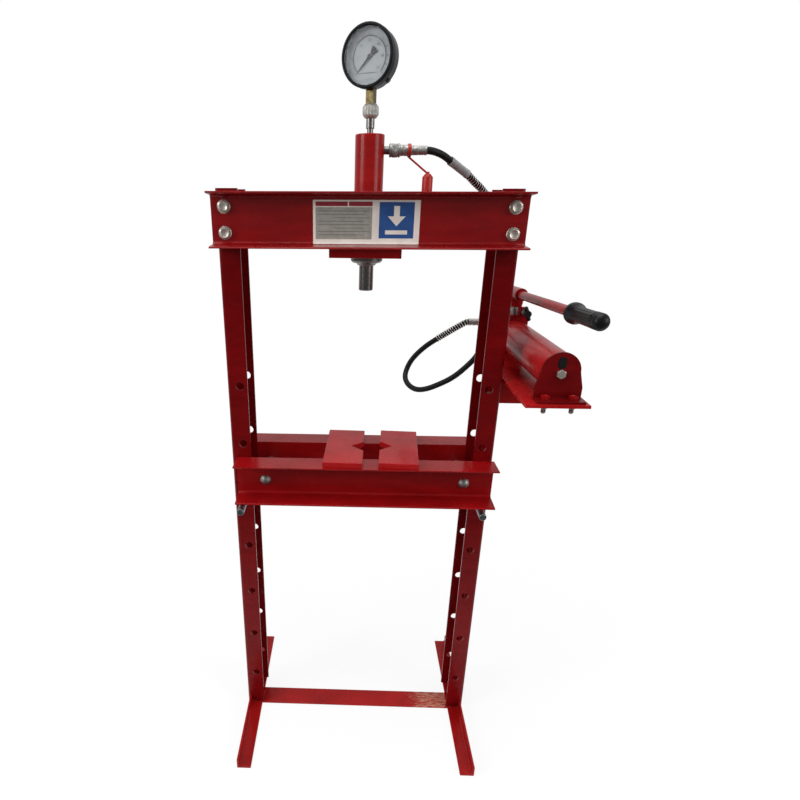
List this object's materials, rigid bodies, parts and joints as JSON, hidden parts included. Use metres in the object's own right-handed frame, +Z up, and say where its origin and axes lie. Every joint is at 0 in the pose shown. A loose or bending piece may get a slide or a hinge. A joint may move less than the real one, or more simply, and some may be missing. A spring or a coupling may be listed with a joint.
{
  "type": "hydraulic shop press",
  "caption": "H-frame shop press with a hand pump, a ram cylinder with a pressure gauge between the top beams, drilled posts and a pinned bed with notched arbor plates.",
  "frame": {"origin": "on the floor below the ram axis, on the underside of the base crossbar", "axes": "+X to the right towards the pump, +Y to the back, +Z up along the posts"},
  "size_m": [0.601, 0.4916, 1.2883],
  "materials": {
    "red_paint": "glossy deep red paint",
    "zinc_steel": "bright zinc plate",
    "dark_steel": "turned steel",
    "chrome_rod": "ground and plated rod",
    "brass": "machined brass",
    "black_rubber": "matt black rubber",
    "black_plastic": "black moulding",
    "grey_plastic": "grey sleeve",
    "white_dial": "white printed dial",
    "clear_lens": "clear gauge lens",
    "orange_plastic": "orange-red soft moulding"
  },
  "bodies": {
    "frame": {"left_post": "red_paint", "right_post": "red_paint", "left_foot": "red_paint", "right_foot": "red_paint", "base_crossbar": "red_paint", "front_beam": "red_paint", "rear_beam": "red_paint", "beam_bolts": "zinc_steel", "beam_washers": "zinc_steel", "beam_nuts": "zinc_steel", "cylinder_plate": "red_paint", "cylinder_barrel": "red_paint", "cylinder_cap": "red_paint", "rod_gland": "dark_steel", "return_spring": "dark_steel", "gauge_nipple": "dark_steel", "gauge_nut": "zinc_steel", "gauge_stem": "brass", "gauge_case": "black_plastic", "gauge_bezel": "black_plastic", "gauge_lens": "clear_lens", "gauge_dial": "white_dial", "bourdon_tube": "brass", "port_nipple": "dark_steel", "coupler": "zinc_steel", "dust_cap": "orange_plastic", "upper_ferrule": "dark_steel", "hose_tail": "black_rubber", "hose_sleeve": "grey_plastic", "upper_spring_guard": "zinc_steel", "hose_tube": "black_rubber", "lower_spring_guard": "zinc_steel", "lower_ferrule": "zinc_steel", "outlet_fitting": "zinc_steel", "pump_bracket": "red_paint", "bracket_bolts": "zinc_steel", "reservoir": "red_paint", "reservoir_end_plate": "red_paint", "pump_bolts": "zinc_steel", "tie_bolt": "zinc_steel", "pump_head": "red_paint", "lever_pin": "zinc_steel"},
    "ram": {"ram_rod": "chrome_rod", "ram_piston": "dark_steel", "piston_seal": "black_rubber"},
    "gauge_needle": {"gauge_pointer": "black_plastic"},
    "pump_lever": {"lever_socket": "red_paint", "pump_handle": "red_paint", "handle_grip": "black_rubber"},
    "pump_plunger": {"plunger": "zinc_steel"},
    "valve": {"release_stem": "zinc_steel", "release_knob": "black_plastic"},
    "bed": {"bed_front_channel": "red_paint", "bed_rear_channel": "red_paint", "bed_spacers": "zinc_steel", "bed_bolts": "zinc_steel", "left_arbor_plate": "red_paint", "right_arbor_plate": "red_paint"},
    "left_pin": {"left_bed_pin": "dark_steel"},
    "right_pin": {"right_bed_pin": "dark_steel"}
  },
  "joints": [
    {"name": "ram_slide", "type": "slide", "parent": "frame", "child": "ram", "axis": [0, 0, -1], "range_m": [0, 0.105], "stiffness_N_per_m": 400, "springref_m": -0.05, "deforming": ["return_spring"]},
    {"name": "gauge_needle_turn", "type": "hinge", "parent": "frame", "child": "gauge_needle", "pos_m": [0, 0, 1.247], "axis": [0.4226, 0.9063, 0], "range_deg": [0, 270], "stiffness_Nm_per_rad": 0.002, "springref_deg": -28.65},
    {"name": "handle_pivot", "type": "hinge", "parent": "frame", "child": "pump_lever", "pos_m": [0.306, 0.212, 0.864], "axis": [-1, 0, 0], "range_deg": [0, 45]},
    {"name": "plunger_slide", "type": "slide", "parent": "frame", "child": "pump_plunger", "axis": [0, 0, 1], "range_m": [0, 0.018]},
    {"name": "release_valve", "type": "hinge", "parent": "frame", "child": "valve", "pos_m": [0.322, 0.16, 0.852], "axis": [0, -1, 0], "range_deg": [0, 270]},
    {"name": "bed_height", "type": "slide", "parent": "frame", "child": "bed", "axis": [0, 0, 1], "range_m": [0, 0.16]},
    {"name": "left_pin_pull", "type": "slide", "parent": "frame", "child": "left_pin", "axis": [0, -1, 0], "range_m": [0, 0.2]},
    {"name": "right_pin_pull", "type": "slide", "parent": "frame", "child": "right_pin", "axis": [0, -1, 0], "range_m": [0, 0.2]}
  ],
  "couplings": [
    {"joint": "plunger_slide", "follows": "handle_pivot", "m_per_rad": 0.022}
  ]
}
